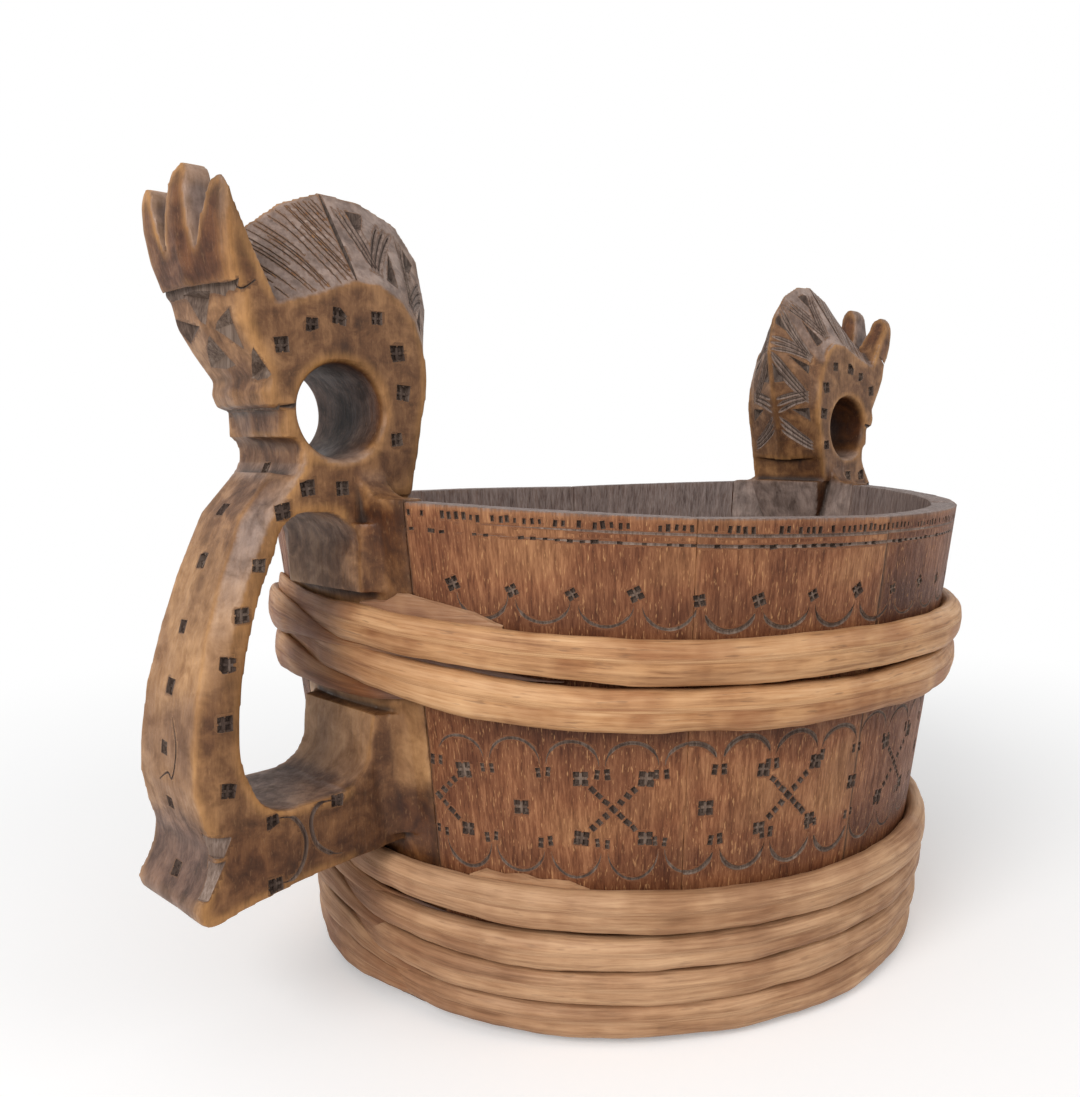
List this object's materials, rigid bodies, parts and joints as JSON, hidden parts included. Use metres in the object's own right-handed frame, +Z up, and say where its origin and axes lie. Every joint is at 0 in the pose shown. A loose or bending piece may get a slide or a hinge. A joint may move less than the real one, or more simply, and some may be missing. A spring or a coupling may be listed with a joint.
{
  "type": "stave ale bowl",
  "caption": "Open stave drinking bowl with a grooved bottom board, lapped withy hoops and two loop handles carved as horse heads.",
  "frame": {"origin": "on the axis of the bowl, level with the feet of the staves", "axes": "+Z up the bowl's axis, +X towards the right handle, -Y towards the front"},
  "size_m": [0.31, 0.229, 0.222],
  "materials": {
    "stave_wood": "dark red-brown softwood, worn smooth and punched with small marks",
    "handle_wood": "brown carved wood, polished by hands, pale on its edges",
    "board_wood": "dull brown board, stained by drink",
    "upper_hoop_withy": "split withy, honey brown with dark streaks",
    "lower_hoop_withy": "split withy, lighter tan"
  },
  "bodies": {
    "root": {"handle_stave_left": "handle_wood", "handle_stave_right": "handle_wood", "front_stave_1": "stave_wood", "front_stave_2": "stave_wood", "front_stave_3": "stave_wood", "front_stave_4": "stave_wood", "back_stave_1": "stave_wood", "back_stave_2": "stave_wood", "back_stave_3": "stave_wood", "back_stave_4": "stave_wood", "bottom_board": "board_wood", "lower_hoop_1": "lower_hoop_withy", "lower_hoop_2": "lower_hoop_withy", "lower_hoop_3": "lower_hoop_withy", "lower_hoop_4": "lower_hoop_withy", "upper_hoop_1": "upper_hoop_withy", "upper_hoop_2": "upper_hoop_withy"}
  },
  "joints": []
}
